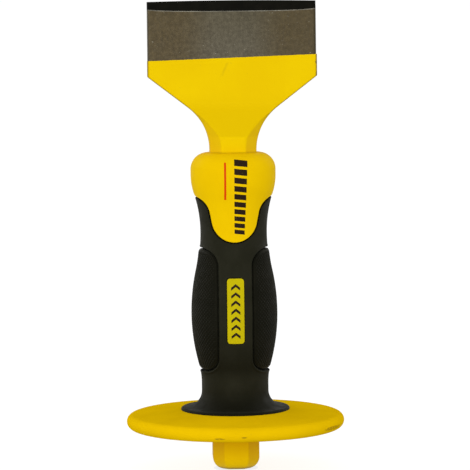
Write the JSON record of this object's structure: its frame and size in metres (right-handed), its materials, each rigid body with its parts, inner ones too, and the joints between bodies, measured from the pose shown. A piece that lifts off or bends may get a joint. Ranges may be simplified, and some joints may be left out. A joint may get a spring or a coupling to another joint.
{
  "type": "brick bolster chisel",
  "caption": "Wide-bladed masonry bolster: one steel forging with a chamfered bar and crowned head, moulded soft grip with textured side pads, and a round hand guard.",
  "frame": {"origin": "centre of the flat struck face, at the bottom centre of the object's box", "axes": "+Z runs from the struck face to the cutting edge; X runs along the cutting edge; Y runs through the blade's thickness, with the front at -Y"},
  "size_m": [0.0984, 0.0984, 0.2114],
  "materials": {
    "painted_steel": "yellow enamel over forged steel, with a bare ground band and a dark cutting bevel at the blade",
    "core_plastic": "satin moulded yellow plastic",
    "sleeve_rubber": "fine matt black rubber",
    "pad_rubber": "black rubber with a raised diamond texture",
    "guard_plastic": "satin moulded yellow plastic, lightly scuffed at the rim",
    "badge_plastic": "yellow inlay with a plain dark chevron pattern"
  },
  "bodies": {
    "root": {"forged_chisel": "painted_steel", "grip_core": "core_plastic", "grip_sleeve": "sleeve_rubber", "left_grip_pad": "pad_rubber", "right_grip_pad": "pad_rubber", "hand_guard": "guard_plastic", "front_badge": "badge_plastic", "back_badge": "badge_plastic"}
  },
  "joints": []
}
